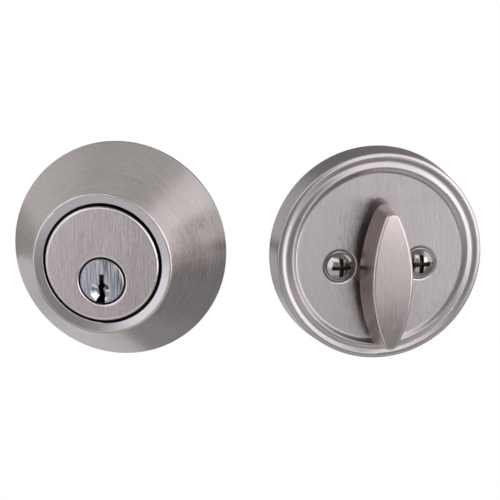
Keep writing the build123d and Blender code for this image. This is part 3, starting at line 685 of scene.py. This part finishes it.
def drawn_steel(name, colour, place, depth, gloss=0.3):
    """Drawn or ground steel: lines along the door's depth and a slow bluish cloud."""
    lines, stretch, cloud_edge = 5.0, 0.3, (-0.2, 0.3)
    finish = Finish(name)
    point = finish.local(*place)
    right, back, up = finish.axes(point)
    line = finish.noise(finish.vector(right * lines, back * stretch, up * lines), detail=2.0)
    cloud = finish.noise(point, scale=0.25, detail=2.0)
    cooler = (colour[0] * 0.85, colour[1] * 0.9, colour[2])
    blued = finish.mixed(cloud.rise(*cloud_edge), colour, cooler)
    tone = 1.0 + 0.35 * line
    return finish.metal(finish.toned(blued, tone), gloss + 0.2 * line, finish.bump(line, depth))


class DressInnards(bpy.types.Operator):
    """Finish the plated, cast and spring-steel pieces behind the trims"""

    bl_idname = "deadbolt.innards"
    bl_label = "Innards"

    def execute(self, context):
        looks = context.scene.lock_finishes
        plated = plated_steel("zinc_plating", looks.plated, looks.hairline_depth)
        wear(plated, "guard_ring", "tailpiece", "screw_posts", "backing_plate")
        cast = cast_alloy("cast_alloy", looks.cast, looks.hairline_depth * 3.0)
        wear(cast, "plug_cap", "cam_hub")
        spring = drawn_steel("spring_wire", looks.spring, OUTSIDE, looks.hairline_depth)
        wear(spring, "pin_springs", "turn_clip", "turn_washer")
        return {"FINISHED"}


class DressLatch(bpy.types.Operator):
    """Finish the latch: plated case and tube, satin bolt and faceplate, hardened pins"""

    bl_idname = "deadbolt.latch"
    bl_label = "Latch"

    def execute(self, context):
        looks = context.scene.lock_finishes
        plated = plated_steel("latch_plating", looks.plated, looks.hairline_depth)
        wear(plated, "latch_case", "latch_tube", "latch_plate", "bolt_links")

        groove = looks.hairline_depth * 0.4
        bolt = Finish("bolt_satin")
        right, back, up = bolt.axes(bolt.local(*LATCH))
        lengthwise = Brushing(bolt, straight_grain(up, right, back, lean=0.3), **COARSE_LINES)
        wear(satin(bolt, looks.bolt, lengthwise, groove), "bolt")

        plate = Finish("faceplate_nickel")
        right, back, up = plate.axes(plate.local(*LATCH))
        upright = Brushing(plate, straight_grain(back, up, right, lean=0.3), **COARSE_LINES)
        wear(satin(plate, looks.nickel, upright, groove), "faceplate")

        hard = drawn_steel("hardened_steel", looks.hard, LATCH, looks.hairline_depth * 0.5, gloss=0.26)
        wear(hard, "bolt_roller", "link_pins")
        return {"FINISHED"}


class CutScrews(bpy.types.Operator):
    """Thread the mounting screws and plate them, with painted shade in the cross recesses"""

    bl_idname = "deadbolt.screws"
    bl_label = "Mounting screws"

    def execute(self, context):
        looks, edges, thread = (
            context.scene.lock_finishes, context.scene.lock_edges, context.scene.lock_threads,
        )
        place, turn = INSIDE
        onto = Matrix.Translation(place) @ Matrix.Rotation(turn, 4, "Z")
        shape = bmesh.new()
        shape.from_mesh(frame["nodes"]["mounting_screws"].data)
        tip = self.heads(shape, onto, thread)
        for side in (-1.0, 1.0):
            axis = onto @ Matrix.Translation((side * edges.screw_offset, 0.0, -edges.screw_drop))
            self.shank(shape, axis, tip, thread)
        mesh = bpy.data.meshes.new("threaded_screws")
        shape.to_mesh(mesh)
        shape.free()
        mesh.materials.append(self.plating(looks, edges))
        made = bpy.data.objects.new("threaded_screws", mesh)
        context.scene.collection.objects.link(made)
        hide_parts("mounting_screws")
        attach(made, "lock_frame")
        return {"FINISHED"}

    def heads(self, shape, onto, thread):
        """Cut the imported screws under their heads, close the cuts, and return where their tips were."""
        back = onto.inverted()
        tip = max((back @ corner.co).y for corner in shape.verts)
        cut = onto @ Vector((0.0, -thread.under_head, 0.0))
        normal = onto.to_3x3() @ Vector((0.0, 1.0, 0.0))
        bmesh.ops.bisect_plane(
            shape, geom=shape.verts[:] + shape.edges[:] + shape.faces[:],
            plane_co=cut, plane_no=normal, clear_outer=True,
        )
        bmesh.ops.holes_fill(shape, edges=[edge for edge in shape.edges if edge.is_boundary])
        return tip

    def shank(self, shape, axis, tip, thread):
        """One shank with its thread: rings whose radius follows the helix, closed at both ends."""
        start = -thread.under_head
        step = thread.pitch / thread.steps
        tip_taper, tip_length = 0.35, 2.0 * thread.pitch
        rows = int((tip - start) / step)
        rings = []
        for row in range(rows + 1):
            along = start + (tip - start) * row / rows
            cut = min(max((along - start - thread.bare) / thread.pitch, 0.0), 1.0)
            point = 1.0 - tip_taper * max(1.0 - (tip - along) / tip_length, 0.0)
            ring = []
            for side in range(thread.sides):
                share = side / thread.sides
                phase = (along / thread.pitch + share) % 1.0
                groove = thread.depth * cut * (1.0 - abs(2.0 * phase - 1.0))
                radius = (thread.radius - groove) * point
                angle = 2.0 * math.pi * share
                spot = Vector((radius * math.cos(angle), along, radius * math.sin(angle)))
                ring.append(shape.verts.new(axis @ spot))
            rings.append(ring)
        for near, far in zip(rings, rings[1:]):
            for side in range(thread.sides):
                other = (side + 1) % thread.sides
                face = shape.faces.new((near[side], near[other], far[other], far[side]))
                face.smooth = True
        shape.faces.new(reversed(rings[0]))
        shape.faces.new(rings[-1])

    def plating(self, looks, edges):
        """Bright, scuffed plating, with painted shade in the cross recesses."""
        finish = Finish("screw_plating")
        point = finish.local(*INSIDE)
        right, back, up = finish.axes(point)
        reach = edges.recess_reach / MM
        dome, recess_depth = 0.12, (0.12, 0.3)
        recess_edge = (reach, reach + 0.15)
        recess_floor = (-8.3, -7.8)
        radius = distance_from(abs(right) - edges.screw_offset / MM, up + edges.screw_drop / MM)
        below = back + edges.screw_crown / MM - dome * radius * radius
        inside = (1.0 - radius.rise(*recess_edge)) * (1.0 - back.rise(*recess_floor))
        recess = below.rise(*recess_depth) * inside
        scuff = finish.noise(point, scale=2.2, detail=3.0, roughness=0.6)
        cloud = finish.noise(point, scale=0.6, detail=1.0)
        # The cross recesses are painted near black: painted shade
        tone = (1.0 + 0.15 * scuff + 0.15 * cloud) * recess.between(1.0, 0.1)
        gloss = recess.between(0.14, 0.44) + 0.12 * scuff
        normal = finish.bump(scuff, looks.hairline_depth)
        return finish.metal(finish.toned(looks.screw, tone), gloss, normal)


def towards(azimuth, elevation):
    """Direction from the lock, in degrees to the right of straight ahead and above the horizon."""
    turn, lift = math.radians(azimuth), math.radians(elevation)
    return Vector((math.sin(turn) * math.cos(lift), -math.cos(turn) * math.cos(lift), math.sin(lift)))


def facing(centre, target):
    """Matrix at a centre whose Z looks at a target."""
    turned = (target - centre).to_track_quat("Z", "Y").to_matrix().to_4x4()
    return Matrix.Translation(centre) @ turned


def panel(name, sides, ends, away, aim, level):
    """A curved studio panel that only reflections see: evenly bright, with no shadow."""
    mesh = bpy.data.meshes.new(name)
    across, along = PANEL_STEPS
    corners = []
    for row in range(along + 1):
        elevation = ends[0] + (ends[1] - ends[0]) * row / along
        for column in range(across + 1):
            azimuth = sides[0] + (sides[1] - sides[0]) * column / across
            corners.append(aim + away * towards(azimuth, elevation))
    faces = []
    for row in range(along):
        for column in range(across):
            first = row * (across + 1) + column
            faces.append((first, first + 1, first + across + 2, first + across + 1))
    mesh.from_pydata(corners, [], faces)
    finish = Finish(name)
    finish.finished(finish.node("ShaderNodeEmission", sockets={"Color": WHITE, "Strength": level}))
    mesh.materials.append(finish.material)
    made = bpy.data.objects.new(name, mesh)
    made.visible_camera = False
    made.visible_shadow = False
    made.visible_diffuse = False
    bpy.context.scene.collection.objects.link(made)


def lamp(name, centre, target, width, height, level):
    """A soft rectangular lamp as bright as a level, hidden from the camera."""
    light = bpy.data.lights.new(name, "AREA")
    light.shape = "RECTANGLE"
    light.size = width
    light.size_y = height
    light.energy = level * math.pi * width * height
    made = bpy.data.objects.new(name, light)
    made.matrix_world = facing(centre, target) @ Matrix.Rotation(math.pi, 4, "Y")
    made.visible_camera = False
    bpy.context.scene.collection.objects.link(made)


class SetStudio(bpy.types.Operator):
    """Set the white studio, its panels and lamps, and the camera"""

    bl_idname = "deadbolt.studio"
    bl_label = "Studio"

    def execute(self, context):
        studio = context.scene.lock_studio
        context.scene.view_settings.view_transform = "Standard"
        self.surroundings(context)
        self.floor(studio)
        self.lighting(studio)
        self.camera(context, studio)
        return {"FINISHED"}

    def surroundings(self, context):
        """Even white all round."""
        world = Surroundings("white_surroundings")
        world.finished(world.node("ShaderNodeBackground", sockets={"Color": WHITE, "Strength": 1.0}))
        context.scene.world = world.material

    def floor(self, studio):
        """A wide pale floor that looks white and still takes the lock's shadow."""
        level = cad_box[0].z - studio.floor_drop
        mesh = bpy.data.meshes.new("floor")
        ways = ((-1.0, -1.0), (1.0, -1.0), (1.0, 1.0), (-1.0, 1.0))
        corners = [(FLOOR_REACH * across, FLOOR_REACH * along, level) for across, along in ways]
        mesh.from_pydata(corners, [], [(0, 1, 2, 3)])
        finish = Finish("pale_floor")
        light_path = finish.node("ShaderNodeLightPath").socket.node
        seen = Signal(finish, light_path.outputs["Is Camera Ray"])
        for name in ("Is Glossy Ray", "Is Transmission Ray"):
            seen = seen.larger(Signal(finish, light_path.outputs[name]))
        matt = finish.node("ShaderNodeBsdfDiffuse", sockets={"Color": FLOOR_GREY})
        glow = finish.node("ShaderNodeEmission", sockets={"Color": WHITE, "Strength": 1.0})
        parts = {0: FLOOR_GLOW * seen, 1: matt, 2: glow}
        finish.finished(finish.node("ShaderNodeMixShader", sockets=parts))
        mesh.materials.append(finish.material)
        made = bpy.data.objects.new("floor", mesh)
        bpy.context.scene.collection.objects.link(made)

    def lighting(self, studio):
        """Soft lamps either side, and the bright, grey and dark panels that the metals reflect."""
        aim = Vector(studio.aim)
        for name, (sides, ends, away) in PANELS.items():
            panel(name, sides, ends, away, aim, getattr(studio, name))
        for name, (direction, size) in LAMPS.items():
            lamp(name, aim + towards(*direction), aim, *size, getattr(studio, name))

    def camera(self, context, studio):
        """The camera at the photograph's viewing angle."""
        lens = bpy.data.cameras.new("camera")
        lens.lens = studio.lens
        lens.sensor_width = SENSOR_WIDTH
        lens.clip_start = NEAREST_SEEN
        made = bpy.data.objects.new("camera", lens)
        back = towards(math.degrees(studio.azimuth), math.degrees(studio.elevation))
        made.location = Vector(studio.aim) + studio.distance * back
        made.rotation_mode = "QUATERNION"
        made.rotation_quaternion = (-back).to_track_quat("-Z", "Y")
        context.scene.collection.objects.link(made)
        context.scene.camera = made


class DeadboltPanel(bpy.types.Panel):
    """Finishes and studio of the deadbolt lock"""

    bl_idname = "VIEW3D_PT_deadbolt"
    bl_label = "Deadbolt lock"
    bl_space_type = "VIEW_3D"
    bl_region_type = "UI"
    bl_category = "Deadbolt"

    def draw(self, context):
        for operator in OPERATORS:
            self.layout.operator(operator.bl_idname)
        for group, holder in GROUPS.items():
            box = self.layout.box()
            for key in holder.__annotations__:
                box.prop(getattr(context.scene, group), key)


GROUPS = {
    "lock_finishes": LockFinishes,
    "lock_edges": LockEdges,
    "lock_threads": LockThreads,
    "lock_studio": LockStudio,
}
OPERATORS = (
    DressCollar, DressCylinder, DressPlug, DressRose, DressThumbturn,
    DressInnards, DressLatch, CutScrews, SetStudio,
)


def register():
    for made in (*GROUPS.values(), *OPERATORS, DeadboltPanel):
        bpy.utils.register_class(made)
    for group, holder in GROUPS.items():
        setattr(bpy.types.Scene, group, PointerProperty(type=holder))


def unregister():
    for group in GROUPS:
        delattr(bpy.types.Scene, group)
    for made in (DeadboltPanel, *reversed(OPERATORS), *reversed(GROUPS.values())):
        bpy.utils.unregister_class(made)


def main():
    register()
    bpy.ops.deadbolt.collar()
    bpy.ops.deadbolt.cylinder()
    bpy.ops.deadbolt.plug()
    bpy.ops.deadbolt.rose()
    bpy.ops.deadbolt.thumbturn()
    bpy.ops.deadbolt.innards()
    bpy.ops.deadbolt.latch()
    bpy.ops.deadbolt.screws()
    bpy.ops.deadbolt.studio()


if __name__ == "__main__":
    main()
